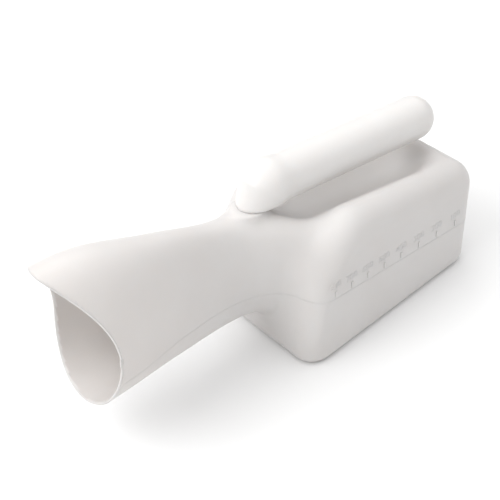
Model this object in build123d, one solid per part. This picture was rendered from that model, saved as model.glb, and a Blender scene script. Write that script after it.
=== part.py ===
from build123d import *
import os
from math import cos, pi, radians, sin

# A female urine bottle lying on its flat underside. The origin is the centre of that underside,
# +Z is up, the mouth points towards -X and the closed rear end towards +X. Millimetres.

# --- reservoir: a wedge-shaped box, taller and wider at the front --------------------------------
BODY_LENGTH = 140.0
FRONT_X = -BODY_LENGTH / 2
REAR_X = BODY_LENGTH / 2      # rear face at the underside, from where it leans back
FRONT_WIDTH = 97.0
REAR_WIDTH = 82.5
FRONT_HEIGHT = 94.0          # height that the straight sloping top would have at the front face
REAR_HEIGHT = 71.0
REAR_LEAN = 7.0              # how much further back the rear face is at REAR_HEIGHT
NOSE_HEIGHT = 33.0           # top of the flat front face, on either side of the neck
NOSE_LENGTH = 50.0           # the shoulder curves up over this length to meet the straight top
NOSE_LEAN = radians(24.3)    # lean of the shoulder from upright, where it meets the flat front face
WALL = 1.5

BOTTOM_RADIUS = 6.0          # long edges of the underside, and its front and rear edges
TOP_RADIUS = 11.0            # long edges of the top
REAR_TOP_RADIUS = 9.0
FRONT_RADIUS = 12.0          # upright edges at the front
REAR_RADIUS = 10.0           # upright edges at the rear

# --- neck and mouth: egg-shaped sections across the bottle ----------------------------------------
THROAT_X = -86.0             # narrowest place, where the spout node meets the reservoir node
MOUTH_X = -175.0
SECTION_POINTS = 24
NARROWING_POWER = 0.8        # how evenly a section narrows from its bottom to its top
NECK_STATIONS = [            # x, half width, lowest z, highest z, squareness, width factor at the top
    (MOUTH_X - 36, 36.5, 26.0, 128.5, 1.95, 0.70),
    (MOUTH_X, 34.8, 26.4, 126.6, 1.95, 0.72),
    (-130.6, 25.7, 25.0, 109.0, 2.0, 0.86),
    (THROAT_X, 17.0, 25.2, 95.0, 2.1, 1.0),
    (-51.5, 30.0, 25.2, 88.0, 2.6, 1.0),
    (-17.0, 44.0, 26.2, 83.0, 4.0, 1.0),
]
RIM_LOW = 26.4
RIM_HIGH = 128.0
LIP_LENGTH = 27.5            # the pouring lip stands this far ahead of the mouth's waist
CHIN_LENGTH = 10.5           # and the bottom of the mouth this far
WAIST_FRACTION = 0.44        # height of the waist, as a fraction of the mouth's height
LIP_POWER = 2.0              # how suddenly the lip curves forward
CHIN_POWER = 1.25
RIM_POINTS = 9

# --- finger recess: a round-ended trough in the top, below the grip -------------------------------
RECESS_RADIUS = 27.0
RECESS_DEPTH = 16.0
RECESS_START_X = -30.0       # centres of its two round ends
RECESS_END_X = 39.0

# --- handle: a hollow finger on one foot, free at its rear end ------------------------------------
LEDGE_Z = 93.6               # the grip's heel stands on the socket here, just clear of the neck's top
LEG_X = -65.5                # the grip's leg stands here, over the shoulder
CORNER_Z = 106.5             # height at which the leg's line meets the finger's line
END_X = 60.0                 # centre of the domed free end
END_Z = 90.0
GRIP_RADIUS = 14.0
BEND_RADIUS = 19.0           # of the centre line
GRIP_WALL = 2.0
GRIP_FLOOR = 2.0
SOCKET_INSET = 1.8           # the heel overhangs the socket by this much all round
SOCKET_WALL = 2.4
SOCKET_DEPTH = 25.0          # reach of the uncut socket, before the shoulder is taken away from it

# --- raised marks on the side facing -Y -----------------------------------------------------------
MARK_HEIGHT = 0.5
SCALE_STEP_ML = 100
SCALE_COUNT = 8
FILL_FACTOR = 0.93           # share of the outer section that the cavity takes up
LEVEL_STEP = 0.5             # slice thickness with which the level of a volume is found
TICK_WIDTH = 1.1
TICK_LENGTH = 4.0
TICK_GAP = 1.2               # gap between the parting ridge and a tick, and a tick and its numeral
NUMERAL_SIZE = 4.6
STROKE = 0.8                 # width of the lines that a figure is drawn with
FIGURE_PITCH = 3.9
SEGMENTS = {                 # strokes of a figure, between corners of a grid 1 wide and 2 high
    "top": ((0, 2), (1, 2)),
    "middle": ((0, 1), (1, 1)),
    "bottom": ((0, 0), (1, 0)),
    "upper_left": ((0, 1), (0, 2)),
    "upper_right": ((1, 1), (1, 2)),
    "lower_left": ((0, 0), (0, 1)),
    "lower_right": ((1, 0), (1, 1)),
}
FIGURES = {
    "0": ["top", "bottom", "upper_left", "upper_right", "lower_left", "lower_right"],
    "1": ["upper_right", "lower_right"],
    "2": ["top", "upper_right", "middle", "lower_left", "bottom"],
    "3": ["top", "upper_right", "middle", "lower_right", "bottom"],
    "4": ["upper_left", "upper_right", "middle", "lower_right"],
    "5": ["top", "upper_left", "middle", "lower_right", "bottom"],
    "6": ["top", "upper_left", "middle", "lower_left", "lower_right", "bottom"],
    "7": ["top", "upper_right", "lower_right"],
    "8": ["top", "middle", "bottom", "upper_left", "upper_right", "lower_left", "lower_right"],
}

# --- mould traces: the parting ridge all round, and the pinch-off across the rear -----------------
PARTING_FRONT_Z = 45.5       # height of the parting plane at the front and rear faces
PARTING_REAR_Z = 30.5
RIDGE_WIDTH = 0.9
RIDGE_HEIGHT = 0.4
PINCH_LENGTH = 46.0
PINCH_WIDTH = 2.6
PINCH_HEIGHT = 1.2

TOP_SLOPE = (REAR_HEIGHT - FRONT_HEIGHT) / BODY_LENGTH
SIDE_SLOPE = (FRONT_WIDTH - REAR_WIDTH) / 2 / BODY_LENGTH
PARTING_SLOPE = (PARTING_REAR_Z - PARTING_FRONT_Z) / BODY_LENGTH
REACH = 200.0                # longer than any distance across the bottle
OVERRUN = 20.0               # how far a form runs on past the cut that trims it
UNDERSIDE_TRIM = 0.02        # depth that is cut off below, which makes the underside a true plane


def top_z(x):
    """Height of the reservoir's straight sloping top."""
    return FRONT_HEIGHT + TOP_SLOPE * (x - FRONT_X)


def side_y(x):
    """Half width of the reservoir."""
    return FRONT_WIDTH / 2 - SIDE_SLOPE * (x - FRONT_X)


def rear_x(z):
    """Where the leaning rear face is at height z."""
    return REAR_X + REAR_LEAN * z / REAR_HEIGHT


def parting_z(x):
    """Height of the plane where the two halves of the mould met."""
    return PARTING_FRONT_Z + PARTING_SLOPE * (x - FRONT_X)


def across(x):
    """Plane across the bottle, whose own x runs along +Y and whose own y runs along +Z."""
    return Plane(origin=(x, 0, 0), x_dir=(0, 1, 0), z_dir=(1, 0, 0))


def rounded(face, corners):
    """Round each listed corner of a flat face with its own radius."""
    for point, radius in corners:
        corner = face.vertices().sort_by_distance(point)[0]
        face = face.fillet_2d(radius, [corner])
    return face


def side_prism(inset):
    """The reservoir's side outline, extruded across the whole width."""
    front = FRONT_X + inset
    rear = REAR_X - inset
    nose_x = FRONT_X + NOSE_LENGTH
    nose = Vector(nose_x, 0, top_z(nose_x) - inset)
    front_top = Vector(front, 0, NOSE_HEIGHT - inset)
    front_low = Vector(front, 0, inset)
    rear_low = Vector(rear, 0, inset)
    rear_top = Vector(rear + REAR_LEAN, 0, top_z(rear + REAR_LEAN) - inset)
    shoulder = Spline(nose, front_top, tangents=[(-1, 0, -TOP_SLOPE), (-sin(NOSE_LEAN), 0, -cos(NOSE_LEAN))])
    edges = [
        Line(front_top, front_low),
        Line(front_low, rear_low),
        Line(rear_low, rear_top),
        Line(rear_top, nose),
        shoulder,
    ]
    radii = [
        (front_low, BOTTOM_RADIUS - inset),
        (rear_low, BOTTOM_RADIUS - inset),
        (rear_top, REAR_TOP_RADIUS - inset),
    ]
    face = rounded(Face(Wire(edges)), radii)
    return extrude(face, amount=FRONT_WIDTH, dir=(0, 1, 0), both=True)


def end_prism(end_x, side, radius, inset, upwards):
    """The plan outline, rounded at one end and running on past the other, extruded both ways."""
    near = end_x - side * inset
    far = end_x - side * REACH
    near_half = side_y(near) - inset
    far_half = side_y(far) - inset
    points = [(near, -near_half), (near, near_half), (far, far_half), (far, -far_half)]
    face = make_face(Polyline(points, close=True)).face()
    face = rounded(face, [(point, radius - inset) for point in points[:2]])
    return extrude(face, amount=REACH, dir=upwards, both=True)


def box_section(x, inset):
    """Section across the reservoir, with its own radii along the top and along the bottom."""
    half = side_y(x) - inset
    high = top_z(x) - inset
    low = inset - UNDERSIDE_TRIM
    corners = [
        ((-half, low), BOTTOM_RADIUS - inset),
        ((half, low), BOTTOM_RADIUS - inset),
        ((half, high), TOP_RADIUS - inset),
        ((-half, high), TOP_RADIUS - inset),
    ]
    face = make_face(Polyline([point for point, radius in corners], close=True)).face()
    return across(x) * rounded(face, corners)


def body_form(inset):
    """The reservoir's outside, or its cavity when inset is the wall thickness."""
    ahead = box_section(FRONT_X - OVERRUN, inset)
    behind = box_section(REAR_X + OVERRUN, inset)
    long_form = loft([ahead, behind], ruled=True)
    front = end_prism(FRONT_X, -1, FRONT_RADIUS, inset, (0, 0, 1))
    rear = end_prism(REAR_X, 1, REAR_RADIUS, inset, (REAR_LEAN, 0, REAR_HEIGHT))
    return long_form & side_prism(inset) & front & rear


def signed_power(value, power):
    """value raised to power, keeping its sign."""
    return abs(value) ** power * (1 if value >= 0 else -1)


def egg_section(x, half_width, low, high, squareness, top_factor, inset):
    """Smooth closed section across the neck, narrower towards its top."""
    centre = (low + high) / 2
    half_height = (high - low) / 2 - inset
    points = []
    for i in range(SECTION_POINTS):
        angle = 2 * pi * i / SECTION_POINTS
        reach = signed_power(cos(angle), 2 / squareness)
        rise = signed_power(sin(angle), 2 / squareness)
        narrowing = 1 - (1 - top_factor) * ((rise + 1) / 2) ** NARROWING_POWER
        points.append((reach * (half_width - inset) * narrowing, centre + rise * half_height))
    return across(x) * Face(Wire([Spline(*points, periodic=True)]))


def neck_form(inset):
    """Shoulder, throat and flared mouth as one loft, which runs on past the mouth's rim."""
    return loft([egg_section(*station, inset) for station in NECK_STATIONS])


def rim_cutter():
    """Everything ahead of the mouth's rim, as a side outline extruded across the bottle."""
    points = []
    for i in range(RIM_POINTS):
        fraction = i / (RIM_POINTS - 1)
        lip = LIP_LENGTH * (max(0.0, fraction - WAIST_FRACTION) / (1 - WAIST_FRACTION)) ** LIP_POWER
        chin = CHIN_LENGTH * (1 - fraction) ** CHIN_POWER
        points.append(Vector(MOUTH_X - chin - lip, 0, RIM_LOW + (RIM_HIGH - RIM_LOW) * fraction))
    low = Vector(points[0].X, 0, RIM_LOW - REACH / 4)
    high = Vector(points[-1].X, 0, RIM_HIGH + REACH / 4)
    far_low = Vector(MOUTH_X - REACH, 0, low.Z)
    far_high = Vector(MOUTH_X - REACH, 0, high.Z)
    outline = Wire([
        Line(far_low, low),
        Line(low, points[0]),
        Spline(*points),
        Line(points[-1], high),
        Line(high, far_high),
        Line(far_high, far_low),
    ])
    return extrude(Face(outline), amount=REACH, dir=(0, 1, 0), both=True)


def recess_form(grow):
    """Round-ended trough along the sloping top; grow is the wall on its cavity side."""
    radius = RECESS_RADIUS + grow
    rise = RECESS_RADIUS - RECESS_DEPTH
    start = Vector(RECESS_START_X, 0, top_z(RECESS_START_X) + rise)
    end = Vector(RECESS_END_X, 0, top_z(RECESS_END_X) + rise)
    run = end - start
    barrel = Solid.make_cylinder(radius, run.length, Plane(origin=start, z_dir=run))
    return Part() + barrel + Pos(start) * Sphere(radius) + Pos(end) * Sphere(radius)


def half_space(x, side):
    """A block that starts at x and covers the whole bottle towards +X or -X."""
    return Pos(x + side * REACH, 0, 0) * Box(2 * REACH, 2 * REACH, 2 * REACH)


def grip_form(radius):
    """A tube that rises, bends back over the recess and ends in a dome."""
    foot = Vector(LEG_X, 0, LEDGE_Z - SOCKET_DEPTH)
    corner = Vector(LEG_X, 0, CORNER_Z)
    end = Vector(END_X, 0, END_Z)
    path = FilletPolyline(foot, corner, end, radius=BEND_RADIUS)
    tube = sweep(Plane(origin=foot, z_dir=(0, 0, 1)) * Circle(radius), path=path)
    return tube + Pos(end) * Sphere(radius)


def heel_column(radius, low, high):
    """Upright round column in line with the grip's leg."""
    return Pos(LEG_X, 0, (low + high) / 2) * Cylinder(radius, high - low)


def grip():
    """Hollow grip with a flat heel, open through the middle of the heel."""
    low = LEDGE_Z - SOCKET_DEPTH - 1
    floor_top = LEDGE_Z + GRIP_FLOOR
    below_heel = heel_column(GRIP_RADIUS + 1, low, LEDGE_Z)
    below_floor = heel_column(GRIP_RADIUS + 1, low, floor_top)
    cavity = grip_form(GRIP_RADIUS - GRIP_WALL) - below_floor
    opening = heel_column(GRIP_RADIUS - SOCKET_INSET - SOCKET_WALL, LEDGE_Z - 1, floor_top + 1)
    return grip_form(GRIP_RADIUS) - below_heel - cavity - opening


def socket(bottle):
    """Short oval collar that rises from the shoulder and carries the grip."""
    low = LEDGE_Z - SOCKET_DEPTH
    outside = GRIP_RADIUS - SOCKET_INSET
    ring = heel_column(outside, low, LEDGE_Z) - heel_column(outside - SOCKET_WALL, low, LEDGE_Z)
    return ring - bottle


def near_side(x, z):
    """Plane on the side facing -Y, at x and z, facing outwards."""
    return Plane(origin=(x, -side_y(x), z), x_dir=(1, SIDE_SLOPE, 0), z_dir=(SIDE_SLOPE, -1, 0))


def tick_x(volume_ml):
    """Where the level lies when the bottle stands on its rear end with this volume in it."""
    x = rear_x(PARTING_REAR_Z)
    filled = 0.0
    while filled < volume_ml * 1000:
        filled += FILL_FACTOR * 2 * side_y(x) * top_z(x) * LEVEL_STEP
        x -= LEVEL_STEP
    return x


def scale_volumes():
    return [SCALE_STEP_ML * (i + 1) for i in range(SCALE_COUNT)]


def scale_ticks():
    """One upright bar above the parting ridge for each volume."""
    ticks = Part()
    for volume in scale_volumes():
        x = tick_x(volume)
        centre = parting_z(x) + RIDGE_WIDTH / 2 + TICK_GAP + TICK_LENGTH / 2
        bar = near_side(x, centre) * Rectangle(TICK_WIDTH, TICK_LENGTH)
        ticks += extrude(bar, amount=MARK_HEIGHT)
    return ticks


def stroke_figure(strokes):
    """A figure made of straight strokes, each one a pair of corners of its 1 by 2 grid."""
    width = NUMERAL_SIZE / 2
    figure = Sketch()
    for (x0, y0), (x1, y1) in strokes:
        centre = Pos((x0 + x1 - 1) / 2 * width, (y0 + y1 - 2) / 2 * width)
        figure += centre * Rectangle(abs(x1 - x0) * width + STROKE, abs(y1 - y0) * width + STROKE)
    return figure


def figure_row(text):
    """The figures of text side by side, centred."""
    row = Sketch()
    for i, figure in enumerate(text):
        offset = (i - (len(text) - 1) / 2) * FIGURE_PITCH
        row += Pos(offset, 0) * stroke_figure([SEGMENTS[name] for name in FIGURES[figure]])
    return row


def scale_numerals():
    """The volume above each tick."""
    rise = RIDGE_WIDTH / 2 + 2 * TICK_GAP + TICK_LENGTH + (NUMERAL_SIZE + STROKE) / 2
    marks = Part()
    for volume in scale_volumes():
        x = tick_x(volume)
        marks += extrude(near_side(x, parting_z(x) + rise) * figure_row(str(volume)), amount=MARK_HEIGHT)
    return marks


def pinch_off():
    """Weld where the mould closed the tube of plastic, across the rear face."""
    foot = (rear_x(PARTING_REAR_Z), 0, PARTING_REAR_Z)
    plane = Plane(origin=foot, x_dir=(0, 1, 0), z_dir=(REAR_HEIGHT, 0, -REAR_LEAN))
    return extrude(plane * Rectangle(PINCH_LENGTH, PINCH_WIDTH), amount=PINCH_HEIGHT)


def parting_ridge(bottle):
    """Fine raised line on the parting plane, round the reservoir and along the spout."""
    skin = body_form(-RIDGE_HEIGHT) + neck_form(-RIDGE_HEIGHT)
    upwards = (-PARTING_SLOPE, 0, 1)
    plane = Plane(origin=(FRONT_X, 0, PARTING_FRONT_Z), x_dir=(1, 0, PARTING_SLOPE), z_dir=upwards)
    slab = plane * Box(3 * REACH, REACH, RIDGE_WIDTH)
    return (skin & slab) - bottle - rim_cutter() - pinch_off()


def save(shape, name):
    export_step(shape, os.path.join("parts", name + ".step"))


def main():
    os.makedirs("parts", exist_ok=True)
    bottle = body_form(0) + neck_form(0) - recess_form(0)
    cavity = body_form(WALL) + neck_form(WALL) - recess_form(WALL)
    shell = bottle - cavity - rim_cutter()
    save(shell & half_space(THROAT_X, 1), "reservoir")
    save(shell & half_space(THROAT_X, -1), "spout")
    save(socket(bottle), "handle_socket")
    save(grip(), "handle_grip")
    save(scale_ticks(), "scale_ticks")
    save(scale_numerals(), "scale_numerals")
    save(parting_ridge(bottle), "parting_ridge")
    save(pinch_off(), "pinch_off")


main()
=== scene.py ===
from math import cos, pi, radians, sin

import bmesh
import bpy
import numpy as np
from mathutils import Matrix, Vector


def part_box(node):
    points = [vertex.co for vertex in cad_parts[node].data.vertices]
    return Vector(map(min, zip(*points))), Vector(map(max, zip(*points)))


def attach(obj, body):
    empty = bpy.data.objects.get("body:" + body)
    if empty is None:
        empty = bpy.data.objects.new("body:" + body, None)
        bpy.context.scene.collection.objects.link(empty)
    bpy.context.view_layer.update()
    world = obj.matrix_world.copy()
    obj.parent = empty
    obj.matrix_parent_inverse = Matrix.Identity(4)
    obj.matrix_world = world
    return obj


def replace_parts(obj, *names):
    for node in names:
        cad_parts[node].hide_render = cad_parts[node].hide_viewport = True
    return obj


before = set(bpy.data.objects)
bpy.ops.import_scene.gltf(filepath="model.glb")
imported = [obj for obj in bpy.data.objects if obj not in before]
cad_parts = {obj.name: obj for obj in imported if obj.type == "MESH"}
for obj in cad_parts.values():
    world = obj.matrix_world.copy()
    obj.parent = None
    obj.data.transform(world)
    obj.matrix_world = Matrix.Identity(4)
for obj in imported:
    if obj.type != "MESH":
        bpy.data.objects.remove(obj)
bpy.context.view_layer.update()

# A female urine bottle lying on its flat underside, with +X towards its closed rear end and -X out
# of its mouth. Lengths here are millimetres, and MM turns them into Blender's metres.
MM = 0.001

BODY = "root"                # the bottle's one body in the CAD

# --- reservoir ------------------------------------------------------------------------------------
REAR_X = 70.0                # rear face at the underside
FRONT_X = -REAR_X
FRONT_HALF = 48.5            # half width at the front face
REAR_HALF = 41.25
FRONT_HEIGHT = 94.0          # where the straight top would meet the front face
REAR_HEIGHT = 71.0
REAR_LEAN = 7.0              # how much further back the rear face is at REAR_HEIGHT
NOSE_X = -20.0               # the shoulder curves down from here to the front face
NOSE_HEIGHT = 33.0
NOSE_LEAN = radians(24.3)
CORNER_RADII = (14.0, 12.0)  # upright edges, at the front and at the rear
BOTTOM_RADIUS = 6.0
TOP_RADII = (15.0, 16.0)
TOP_SLOPE = (REAR_HEIGHT - FRONT_HEIGHT) / (REAR_X - FRONT_X)
SIDE_SLOPE = (FRONT_HALF - REAR_HALF) / (REAR_X - FRONT_X)

# --- neck and mouth -------------------------------------------------------------------------------
MOUTH_X = -175.0
NECK = np.array([            # x, half width, low z, high z, squareness, width factor at the top
    (MOUTH_X - 36, 38.2, 32.1, 125.6, 2.0, 0.74),
    (MOUTH_X, 36.4, 32.5, 123.6, 2.0, 0.76),
    (-130.6, 22.2, 27.5, 109.1, 2.1, 0.86),
    (-86.0, 17.3, 24.8, 93.7, 2.1, 1.0),
    (-51.5, 30.0, 25.2, 88.0, 2.6, 1.0),
    (-17.0, 22.0, 30.0, 70.0, 2.6, 1.0),
])
NARROWING_POWER = 0.8        # below 1 the section narrows soon above its lowest point
RIM_LOW = 32.5
RIM_HIGH = 125.2
LIP_LENGTH = 25.1            # the pouring lip stands this far ahead of the mouth's waist
CHIN_LENGTH = 14.9           # and the bottom of the mouth this far
WAIST = 0.37                 # where the rim lies furthest back, as a fraction of its height
LIP_POWER = 2.0              # how suddenly the lip curves forward
CHIN_POWER = 2.5             # how suddenly the bottom of the mouth curves forward
SHOULDER_BLEND = 17.0        # softness of the join between neck and reservoir

# --- finger recess --------------------------------------------------------------------------------
RECESS_RADIUS = 27.0
RECESS_DEPTH = 16.0
RECESS_START = -30.0
RECESS_END = 39.0
RECESS_BLEND = 8.0

# --- socket under the grip ------------------------------------------------------------------------
LEDGE_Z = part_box("handle_socket")[1].z / MM
SOCKET_LOW_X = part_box("handle_socket")[0].x / MM
SOCKET_RADIUS = 9.8
SOCKET_BLEND = 5.0

# --- grip -----------------------------------------------------------------------------------------
LEG_LOW = (-67.5, 87.0)      # x and z of the ends of the leaning leg's centre line
LEG_HIGH = (-56.5, 101.5)
LEG_LOW_RADIUS = 9.2
LEG_HIGH_RADIUS = 14.4
ELBOW = (-50.0, 102.0)       # x and z of the ends of the finger's centre line
TIP = (60.0, 90.0)
ELBOW_RADIUS = 13.6
TIP_RADIUS = 13.4
GRIP_BLEND = 6.0             # softness of the join between leg and finger
HEEL_ROUND = 1.6             # radius of the flat heel's edge

# --- marks on the side ----------------------------------------------------------------------------
PARTING_FRONT_Z = 45.5
PARTING_REAR_Z = 30.5
PARTING_SLOPE = (PARTING_REAR_Z - PARTING_FRONT_Z) / (REAR_X - FRONT_X)
RIDGE_RADIUS = 0.35
RIDGE_SINK = 0.22            # the ridge's centre line lies this far below the surface
RIDGE_MOUTH_Z = PARTING_FRONT_Z + 11  # about where the parting line reaches the rim
RIDGE_MOUTH_GAP = 3.0        # the ridge stops this far short of the rim
RIDGE_REAR_GAP = 0.5         # and this far short of the rear face's foot
RIDGE_STEPS = 260
SCALE_STEP_ML = 100
FIGURE_RISE = 9.5            # from the parting line to the middle of the figures
FIGURE_SIZE = 6.4
FIGURE_HEIGHT = 0.12
FIGURE_BEVEL = FIGURE_HEIGHT / 4
TICK_GROUP_GAP = 3.0         # vertices further apart in x than this are on different ticks

# --- meshes ---------------------------------------------------------------------------------------
WALL = 1.4
BODY_CELL = 1.5              # side of a grid cell, for the bottle and for the grip
GRIP_CELL = 1.3
SNAP = 0.45                  # vertices this near the rim are moved on to it
RIM_STEPS = 240
ROUNDS = 30                  # repeats that bring the rim and the ridge on to the surface
LEAST_STEEPNESS = 0.1        # keeps a step towards the surface short where a field is nearly flat
LEAST_RING = 1e-3            # keeps the neck's field finite on its centre line

# --- camera ---------------------------------------------------------------------------------------
CAMERA_PLACE = (-376.0, -412.4, 489.7)
CAMERA_AZIMUTH = radians(-36.63)
CAMERA_ELEVATION = radians(39.68)
CAMERA_ROLL = radians(5.41)
CAMERA_LENS = 85.24

# --- stage, in metres -----------------------------------------------------------------------------
FLOOR_HALF = 4.0
FLOOR_GREY = 0.83
LIGHT_AIM = Vector((-0.05, 0, 0.06))
LIGHTS = (                   # name, place, size, power
    ("key", (-1.0, 0.3, 1.05), 1.1, 11.0),
    ("back", (0.3, 0.9, 1.0), 1.0, 2.0),
)
HORIZON_LIGHT = 0.2
ZENITH_LIGHT = 1.5


# --- surfaces as functions: negative inside, positive outside -------------------------------------

def round_max(a, b, radius):
    """Intersection of two forms with a rounded edge."""
    outside = np.hypot(np.maximum(a + radius, 0), np.maximum(b + radius, 0))
    return np.minimum(np.maximum(a, b), -radius) + outside


def blend_min(a, b, width):
    """Union of two forms with a soft fillet."""
    overlap = np.maximum(width - np.abs(a - b), 0) / width
    return np.minimum(a, b) - overlap ** 2 * width / 4


def blend_max(a, b, width):
    """Intersection of two forms with a softened edge."""
    return -blend_min(-a, -b, width)


def hermite(t, start, end, start_slope, end_slope):
    """Cubic from start to end, with those slopes in t."""
    return (
        (2 * t ** 3 - 3 * t ** 2 + 1) * start
        + (t ** 3 - 2 * t ** 2 + t) * start_slope
        + (3 * t ** 2 - 2 * t ** 3) * end
        + (t ** 3 - t ** 2) * end_slope
    )


def smooth_through(x, places, values):
    """Smooth curve through values at places, read off at x."""
    slopes = np.gradient(values, places)
    x = np.clip(x, places[0], places[-1])
    i = np.clip(np.searchsorted(places, x) - 1, 0, len(places) - 2)
    span = places[i + 1] - places[i]
    t = (x - places[i]) / span
    return hermite(t, values[i], values[i + 1], slopes[i] * span, slopes[i + 1] * span)


def straight_top(x):
    """Height of the reservoir's sloping top."""
    return FRONT_HEIGHT + TOP_SLOPE * (x - FRONT_X)


def shoulder_outline(steps=400):
    """x and z along the shoulder's curve, from the front face back to the straight top."""
    nose_z = straight_top(NOSE_X)
    chord = np.hypot(NOSE_X - FRONT_X, nose_z - NOSE_HEIGHT)
    t = np.linspace(0, 1, steps)
    back = chord / np.hypot(1, TOP_SLOPE)
    x = hermite(t, FRONT_X, NOSE_X, chord * sin(NOSE_LEAN), back)
    z = hermite(t, NOSE_HEIGHT, nose_z, chord * cos(NOSE_LEAN), back * TOP_SLOPE)
    return x, z


SHOULDER_X, SHOULDER_Z = shoulder_outline()
SHOULDER_SLOPE = np.gradient(SHOULDER_Z, SHOULDER_X)


def top_distance(x, z):
    """About how far a point is above the reservoir's top and shoulder."""
    ahead = x < NOSE_X
    height = np.where(ahead, np.interp(x, SHOULDER_X, SHOULDER_Z), straight_top(x))
    slope = np.where(ahead, np.interp(x, SHOULDER_X, SHOULDER_SLOPE), TOP_SLOPE)
    return (z - height) / np.hypot(1, slope)


def reservoir_field(x, y, z):
    """Wedge with a leaning rear face, rounded edges and a curved shoulder."""
    sides = np.abs(y) - (FRONT_HALF - SIDE_SLOPE * (x - FRONT_X))
    rear = (x - REAR_X - REAR_LEAN * z / REAR_HEIGHT) / np.hypot(1, REAR_LEAN / REAR_HEIGHT)
    ends = np.maximum(rear, FRONT_X - x)
    plan = round_max(sides, ends, np.interp(x, (FRONT_X, REAR_X), CORNER_RADII))
    standing = round_max(plan, -z, BOTTOM_RADIUS)
    return round_max(standing, top_distance(x, z), np.interp(x, (FRONT_X, REAR_X), TOP_RADII))


def neck_field(x, y, z):
    """Neck and mouth, from upright egg-shaped sections."""
    columns = [smooth_through(x, NECK[:, 0], NECK[:, i]) for i in range(1, 6)]
    half, low, high, squareness, top_factor = columns
    centre = (low + high) / 2
    rise = (z - centre) / ((high - low) / 2)
    level = np.clip((rise + 1) / 2, 0, 1)
    narrowing = 1 - (1 - top_factor) * level ** NARROWING_POWER
    across = np.abs(y) / (half * narrowing)
    ring = (across ** squareness + np.abs(rise) ** squareness) ** (1 / squareness)
    radial = np.hypot(y, z - centre) * (1 - 1 / np.maximum(ring, LEAST_RING))
    return np.maximum(radial, x - NECK[-1, 0])


def capsule(x, y, z, start, end, radius, end_radius=None):
    """Round-ended bar from start to end, each an x and z on the middle plane, tapered if asked."""
    run_x = end[0] - start[0]
    run_z = end[1] - start[1]
    along = ((x - start[0]) * run_x + (z - start[1]) * run_z) / (run_x ** 2 + run_z ** 2)
    along = np.clip(along, 0, 1)
    off_x = x - start[0] - along * run_x
    off_z = z - start[1] - along * run_z
    growth = 0 if end_radius is None else end_radius - radius
    return np.sqrt(off_x ** 2 + y ** 2 + off_z ** 2) - radius - growth * along


def recess_field(x, y, z):
    """Round-ended trough for the fingers, along the straight top."""
    rise = RECESS_RADIUS - RECESS_DEPTH
    start = (RECESS_START, straight_top(RECESS_START) + rise)
    end = (RECESS_END, straight_top(RECESS_END) + rise)
    return capsule(x, y, z, start, end, RECESS_RADIUS)


def socket_field(x, y, z):
    """Short upright column that ends at the ledge."""
    column = np.hypot(x - SOCKET_LOW_X - SOCKET_RADIUS, y) - SOCKET_RADIUS
    return np.maximum(column, np.abs(z - LEDGE_Z + RECESS_DEPTH / 2) - RECESS_DEPTH / 2)


def bottle_field(x, y, z):
    """The whole outside of the bottle, without its grip."""
    joined = blend_min(reservoir_field(x, y, z), neck_field(x, y, z), SHOULDER_BLEND)
    hollowed = blend_max(joined, -recess_field(x, y, z), RECESS_BLEND)
    return blend_min(hollowed, socket_field(x, y, z), SOCKET_BLEND)


def grip_field(x, y, z):
    """Leaning leg with a flat heel, and the domed finger that it carries."""
    limb = capsule(x, y, z, LEG_LOW, LEG_HIGH, LEG_LOW_RADIUS, LEG_HIGH_RADIUS)
    leg = round_max(limb, LEDGE_Z - z, HEEL_ROUND)
    finger = capsule(x, y, z, ELBOW, TIP, ELBOW_RADIUS, TIP_RADIUS)
    return blend_min(leg, finger, GRIP_BLEND)


# --- from a function to a mesh --------------------------------------------------------------------

def slopes_of(field, points, step=0.02):
    """Gradient of the field at each point."""
    columns = []
    for axis in range(3):
        shift = np.zeros(3)
        shift[axis] = step
        columns.append((field(*(points + shift).T) - field(*(points - shift).T)) / (2 * step))
    return np.stack(columns, axis=1)


def settle(field, points, rounds=4):
    """Move points on to the surface."""
    for _ in range(rounds):
        slope = slopes_of(field, points)
        steepness = np.maximum((slope ** 2).sum(axis=1), LEAST_STEEPNESS)
        points = points - (field(*points.T) / steepness)[:, None] * slope
    return points


def surface_net(field, low, high, cell):
    """Four-sided faces over a field's surface: one vertex in each grid cell that it crosses."""
    axes = [np.arange(a, b + cell, cell) for a, b in zip(low, high)]
    grid = np.meshgrid(*axes, indexing="ij")
    inside = field(*grid) < 0
    corners = [
        inside[i:i - 1 or None, j:j - 1 or None, k:k - 1 or None]
        for i in (0, 1) for j in (0, 1) for k in (0, 1)
    ]
    count = sum(corner.astype(int) for corner in corners)
    crossed = (count > 0) & (count < len(corners))
    number = np.full(crossed.shape, -1)
    number[crossed] = np.arange(crossed.sum())
    places = np.argwhere(crossed)
    points = np.array(low) + (places + 0.5) * cell
    faces = []
    for axis in range(3):
        faces.extend(faces_across(inside, number, axis))
    return settle(field, points), np.array(faces)


def faces_across(inside, number, axis):
    """The faces that cross the grid's edges along one axis, all turned outwards."""
    before = np.moveaxis(inside, axis, 0)
    cells = np.moveaxis(number, axis, 0)
    leaving = before[:-1, 1:-1, 1:-1] & ~before[1:, 1:-1, 1:-1]
    entering = ~before[:-1, 1:-1, 1:-1] & before[1:, 1:-1, 1:-1]
    ring = [cells[:, :-1, :-1], cells[:, 1:, :-1], cells[:, 1:, 1:], cells[:, :-1, 1:]]
    turned = axis == 1
    found = []
    for edges, flipped in ((leaving, turned), (entering, not turned)):
        quads = np.stack([corner[edges] for corner in ring], axis=1)
        found.extend(quads[:, ::-1] if flipped else quads)
    return found


def rim_x(z):
    """Where the mouth's rim lies at height z."""
    fraction = np.clip((z - RIM_LOW) / (RIM_HIGH - RIM_LOW), 0, 1)
    above = np.maximum(fraction - WAIST, 0) / (1 - WAIST)
    lip = LIP_LENGTH * above ** LIP_POWER
    chin = CHIN_LENGTH * (1 - fraction) ** CHIN_POWER
    return MOUTH_X - chin - lip


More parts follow.
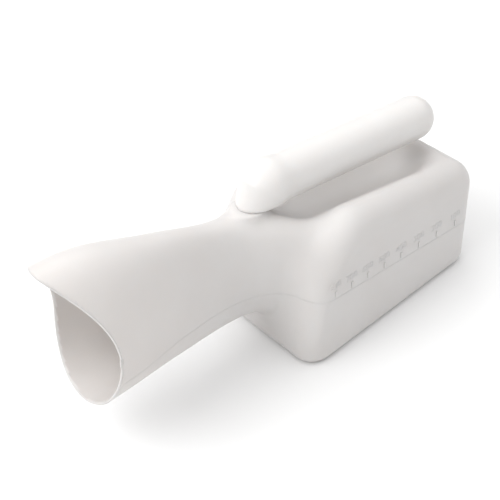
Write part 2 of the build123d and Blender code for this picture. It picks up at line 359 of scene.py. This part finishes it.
def cut_at_rim(points, faces):
    """Remove what lies ahead of the mouth's rim, and leave a clean edge along it."""
    ahead = rim_x(points[:, 2]) - points[:, 0]
    near = np.abs(ahead) < SNAP
    points[near, 0] += ahead[near]
    ahead[near] = 0
    points = list(points)
    crossings = {}

    def crossing(a, b):
        key = (min(a, b), max(a, b))
        if key not in crossings:
            share = ahead[a] / (ahead[a] - ahead[b])
            crossings[key] = len(points)
            points.append(points[a] + share * (points[b] - points[a]))
        return crossings[key]

    kept = []
    for face in faces:
        sides = ahead[face]
        if sides.max() <= 0:
            kept.append([int(v) for v in face])
            continue
        if sides.min() >= 0:
            continue
        outline = []
        for a, b in zip(face, np.roll(face, -1)):
            if ahead[a] <= 0:
                outline.append(int(a))
            if ahead[a] * ahead[b] < 0:
                outline.append(crossing(a, b))
        if len(outline) > 2:
            kept.append(outline)
    return points, kept


# --- pieces ---------------------------------------------------------------------------------------

def drop_loose(mesh):
    """Delete the vertices that no face uses."""
    work = bmesh.new()
    work.from_mesh(mesh)
    bmesh.ops.delete(work, geom=[v for v in work.verts if not v.link_faces], context="VERTS")
    work.to_mesh(mesh)
    work.free()


def add_piece(name, data, material, place=Matrix.Identity(4)):
    """A piece in the scene, put in its place, that rides on the bottle's body."""
    data.materials.append(material)
    piece = bpy.data.objects.new(name, data)
    bpy.context.scene.collection.objects.link(piece)
    piece.matrix_world = place
    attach(piece, BODY)
    return piece


def smooth_mesh(name, points, faces):
    """Smooth-shaded mesh from points in millimetres."""
    mesh = bpy.data.meshes.new(name)
    corners = [Vector(point) * MM for point in points]
    mesh.from_pydata(corners, [], [[int(v) for v in face] for face in faces])
    drop_loose(mesh)
    for polygon in mesh.polygons:
        polygon.use_smooth = True
    return mesh


def bottle_shell(material):
    """Reservoir, shoulder, neck and mouth as one moulded wall."""
    low = (NECK[0, 0] + BODY_CELL, -FRONT_HALF - 2 * BODY_CELL, -2 * BODY_CELL)
    high = (
        REAR_X + REAR_LEAN + 2 * BODY_CELL,
        FRONT_HALF + 2 * BODY_CELL,
        RIM_HIGH + 4 * BODY_CELL,
    )
    points, faces = cut_at_rim(*surface_net(bottle_field, low, high, BODY_CELL))
    mesh = smooth_mesh("bottle_shell", points, faces)
    shell = add_piece("bottle_shell", mesh, material)
    solidify = shell.modifiers.new("wall", "SOLIDIFY")
    solidify.thickness = WALL * MM
    solidify.offset = -1
    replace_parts(shell, "reservoir", "spout", "handle_socket")


def domed_grip(material):
    """The grip, as one closed surface."""
    low = (
        LEG_LOW[0] - LEG_HIGH_RADIUS - GRIP_BLEND,
        -ELBOW_RADIUS - GRIP_BLEND,
        TIP[1] - TIP_RADIUS - GRIP_BLEND,
    )
    high = (
        TIP[0] + TIP_RADIUS + GRIP_BLEND,
        ELBOW_RADIUS + GRIP_BLEND,
        ELBOW[1] + ELBOW_RADIUS + GRIP_BLEND,
    )
    mesh = smooth_mesh("grip", *surface_net(grip_field, low, high, GRIP_CELL))
    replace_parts(add_piece("grip", mesh, material), "handle_grip")


def bead(name, loops, radius, material):
    """Round bead along each row of points, which may be a closed loop."""
    curve = bpy.data.curves.new(name, "CURVE")
    curve.dimensions = "3D"
    curve.bevel_depth = radius * MM
    curve.bevel_resolution = 3
    for points, closed in loops:
        spline = curve.splines.new("POLY")
        spline.points.add(len(points) - 1)
        for target, point in zip(spline.points, points):
            target.co = (*(Vector(point) * MM), 1)
        spline.use_cyclic_u = closed
        spline.use_smooth = True
    return add_piece(name, curve, material)


def rim_loop(inset):
    """Closed loop round the mouth's rim, that far inside the outer surface."""
    loop = []
    for i in range(RIM_STEPS):
        angle = 2 * pi * i / RIM_STEPS
        rise = sin(angle)
        x = MOUTH_X
        for _ in range(ROUNDS):
            half, low, high, squareness, top_factor = [
                float(smooth_through(np.array([x]), NECK[:, 0], NECK[:, k])[0]) for k in range(1, 6)
            ]
            z = (low + high) / 2 + rise * ((high - low) / 2 - inset)
            x = float(rim_x(np.array([z]))[0])
        narrowing = 1 - (1 - top_factor) * ((rise + 1) / 2) ** NARROWING_POWER
        reach = (1 - abs(rise) ** squareness) ** (1 / squareness)
        y = (half - inset) * narrowing * reach * (1 if cos(angle) >= 0 else -1)
        loop.append((x, y, z))
    return loop


def mouth_rim(material):
    """Rounded edge of the wall, all round the mouth."""
    bead("mouth_rim", [(rim_loop(WALL / 2), True)], WALL / 2, material)


def side_ridge(side):
    """Points where the parting plane meets one side, from near the rim to near the rear face."""
    start = rim_x(np.array([RIDGE_MOUTH_Z]))[0] + RIDGE_MOUTH_GAP
    x = np.linspace(start, REAR_X - RIDGE_REAR_GAP, RIDGE_STEPS)
    z = PARTING_FRONT_Z + PARTING_SLOPE * (x - FRONT_X)
    low = np.zeros_like(x)
    high = np.full_like(x, FRONT_HALF + 5)
    for _ in range(ROUNDS):
        middle = (low + high) / 2
        inside = bottle_field(x, middle, z) < 0
        low = np.where(inside, middle, low)
        high = np.where(inside, high, middle)
    return [(a, side * (b - RIDGE_SINK), c) for a, b, c in zip(x, low, z)]


def parting_ridge(material):
    """Fine raised line along both sides, where the mould's halves met."""
    rows = [(side_ridge(-1), False), (side_ridge(1), False)]
    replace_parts(bead("moulding_line", rows, RIDGE_RADIUS, material), "parting_ridge")


def tick_places():
    """x of each tick in the CAD frame, front to rear."""
    xs = np.sort([v.co.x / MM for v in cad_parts["scale_ticks"].data.vertices])
    groups = np.split(xs, np.where(np.diff(xs) > TICK_GROUP_GAP)[0] + 1)
    return [(group[0] + group[-1]) / 2 for group in groups]


def volume_figures(material):
    """The volume above each tick, in raised figures."""
    places = tick_places()
    along = Vector((1, SIDE_SLOPE, 0)).normalized()
    outwards = Vector((SIDE_SLOPE, -1, 0)).normalized()
    turn = Matrix((along, Vector((0, 0, 1)), outwards)).transposed().to_4x4()
    for i, x in enumerate(places):
        volume = SCALE_STEP_ML * (len(places) - i)
        text = bpy.data.curves.new(f"figure_{volume}", "FONT")
        text.body = str(volume)
        text.size = FIGURE_SIZE * MM
        text.extrude = FIGURE_HEIGHT / 2 * MM
        text.bevel_depth = FIGURE_BEVEL * MM
        text.align_x = "CENTER"
        text.align_y = "CENTER"
        z = PARTING_FRONT_Z + PARTING_SLOPE * (x - FRONT_X) + FIGURE_RISE
        y = -(FRONT_HALF - SIDE_SLOPE * (x - FRONT_X))
        place = Matrix.Translation(Vector((x, y, z)) * MM) @ turn
        piece = add_piece(f"figure_{volume}", text, material, place)
        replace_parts(piece, "scale_numerals")


# --- materials ------------------------------------------------------------------------------------

def cloud_texture(nodes, link, place, scale, detail):
    """Noise that is fixed to the piece. A larger scale gives finer clouds."""
    texture = nodes.new("ShaderNodeTexNoise")
    texture.inputs["Scale"].default_value = scale
    texture.inputs["Detail"].default_value = detail
    link(place.outputs["Object"], texture.inputs["Vector"])
    return texture


def bumps(nodes, link, texture, strength, distance):
    """Uneven surface that follows a texture, with its depth in metres."""
    bump = nodes.new("ShaderNodeBump")
    bump.inputs["Strength"].default_value = strength
    bump.inputs["Distance"].default_value = distance
    link(texture.outputs["Fac"], bump.inputs["Height"])
    return bump


def milky_plastic(name, pale, deep, roughness):
    """Milky polyethylene: faint cloudiness in colour and gloss, and a fine uneven moulded skin."""
    material = bpy.data.materials.new(name)
    material.use_nodes = True
    nodes = material.node_tree.nodes
    link = material.node_tree.links.new
    shader = nodes["Principled BSDF"]
    place = nodes.new("ShaderNodeTexCoord")

    clouds = cloud_texture(nodes, link, place, scale=22.0, detail=4.0)
    tint = nodes.new("ShaderNodeValToRGB")
    first, last = tint.color_ramp.elements
    first.position, first.color = 0.3, (*deep, 1)
    last.position, last.color = 0.7, (*pale, 1)
    link(clouds.outputs["Fac"], tint.inputs["Fac"])
    link(tint.outputs["Color"], shader.inputs["Base Color"])

    smears = cloud_texture(nodes, link, place, scale=60.0, detail=6.0)
    gloss = nodes.new("ShaderNodeMapRange")
    gloss.inputs["To Min"].default_value = roughness - 0.06
    gloss.inputs["To Max"].default_value = roughness + 0.08
    link(smears.outputs["Fac"], gloss.inputs["Value"])
    link(gloss.outputs["Result"], shader.inputs["Roughness"])

    skin = cloud_texture(nodes, link, place, scale=420.0, detail=3.0)
    waves = cloud_texture(nodes, link, place, scale=34.0, detail=1.0)
    fine = bumps(nodes, link, skin, strength=0.06, distance=0.0004)
    broad = bumps(nodes, link, waves, strength=0.12, distance=0.0015)
    link(fine.outputs["Normal"], broad.inputs["Normal"])
    link(broad.outputs["Normal"], shader.inputs["Normal"])

    shader.inputs["Subsurface Weight"].default_value = 0.30
    shader.inputs["Subsurface Radius"].default_value = (1.0, 0.85, 0.75)
    shader.inputs["Subsurface Scale"].default_value = 0.004
    shader.inputs["IOR"].default_value = 1.5
    return material


def paper_floor():
    """Plain matt paper."""
    material = bpy.data.materials.new("floor_paper")
    material.use_nodes = True
    shader = material.node_tree.nodes["Principled BSDF"]
    shader.inputs["Base Color"].default_value = (FLOOR_GREY, FLOOR_GREY, FLOOR_GREY, 1)
    shader.inputs["Roughness"].default_value = 0.9
    return material


# --- stage ----------------------------------------------------------------------------------------

def add_floor():
    mesh = bpy.data.meshes.new("floor")
    half = FLOOR_HALF
    corners = [(-half, -half, 0), (half, -half, 0), (half, half, 0), (-half, half, 0)]
    mesh.from_pydata(corners, [], [(0, 1, 2, 3)])
    mesh.materials.append(paper_floor())
    floor = bpy.data.objects.new("floor", mesh)
    bpy.context.scene.collection.objects.link(floor)


def add_light(name, place, size, power):
    """Square soft light that faces the middle of the object."""
    light = bpy.data.lights.new(name, "AREA")
    light.size = size
    light.energy = power
    lamp = bpy.data.objects.new(name, light)
    lamp.location = place
    lamp.rotation_euler = (LIGHT_AIM - Vector(place)).to_track_quat("-Z", "Y").to_euler()
    bpy.context.scene.collection.objects.link(lamp)


def add_world():
    """Grey dome, brighter overhead than at the horizon."""
    world = bpy.data.worlds.new("studio")
    world.use_nodes = True
    nodes = world.node_tree.nodes
    link = world.node_tree.links.new
    background = nodes["Background"]
    background.inputs["Strength"].default_value = 1.0
    place = nodes.new("ShaderNodeTexCoord")
    split = nodes.new("ShaderNodeSeparateXYZ")
    link(place.outputs["Generated"], split.inputs["Vector"])
    height = nodes.new("ShaderNodeMapRange")
    height.inputs["To Min"].default_value = HORIZON_LIGHT
    height.inputs["To Max"].default_value = ZENITH_LIGHT
    link(split.outputs["Z"], height.inputs["Value"])
    link(height.outputs["Result"], background.inputs["Color"])
    bpy.context.scene.world = world


def add_camera():
    """Camera from its place, direction, height above level and roll."""
    azimuth, elevation, roll = CAMERA_AZIMUTH, CAMERA_ELEVATION, CAMERA_ROLL
    right = Vector((cos(azimuth), sin(azimuth), 0))
    back = Vector((sin(azimuth) * cos(elevation), -cos(azimuth) * cos(elevation), sin(elevation)))
    up = back.cross(right)
    across = cos(roll) * right - sin(roll) * up
    upright = sin(roll) * right + cos(roll) * up
    camera = bpy.data.objects.new("camera", bpy.data.cameras.new("camera"))
    camera.data.lens = CAMERA_LENS
    camera.data.clip_start = 0.01
    turn = Matrix((across, upright, back)).transposed().to_4x4()
    camera.matrix_world = Matrix.Translation(Vector(CAMERA_PLACE) * MM) @ turn
    bpy.context.scene.collection.objects.link(camera)
    bpy.context.scene.camera = camera


# --- the bottle -----------------------------------------------------------------------------------
bottle_plastic = milky_plastic("bottle_plastic", (0.66, 0.64, 0.628), (0.63, 0.605, 0.59), 0.40)
grip_plastic = milky_plastic("grip_plastic", (0.755, 0.742, 0.73), (0.725, 0.705, 0.69), 0.32)

bottle_shell(bottle_plastic)
domed_grip(grip_plastic)
mouth_rim(bottle_plastic)
parting_ridge(bottle_plastic)
volume_figures(bottle_plastic)
for node in ("scale_ticks", "pinch_off"):
    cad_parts[node].data.materials.clear()
    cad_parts[node].data.materials.append(bottle_plastic)

add_floor()
for light in LIGHTS:
    add_light(*light)
add_world()
add_camera()
bpy.context.scene.view_settings.view_transform = "Standard"
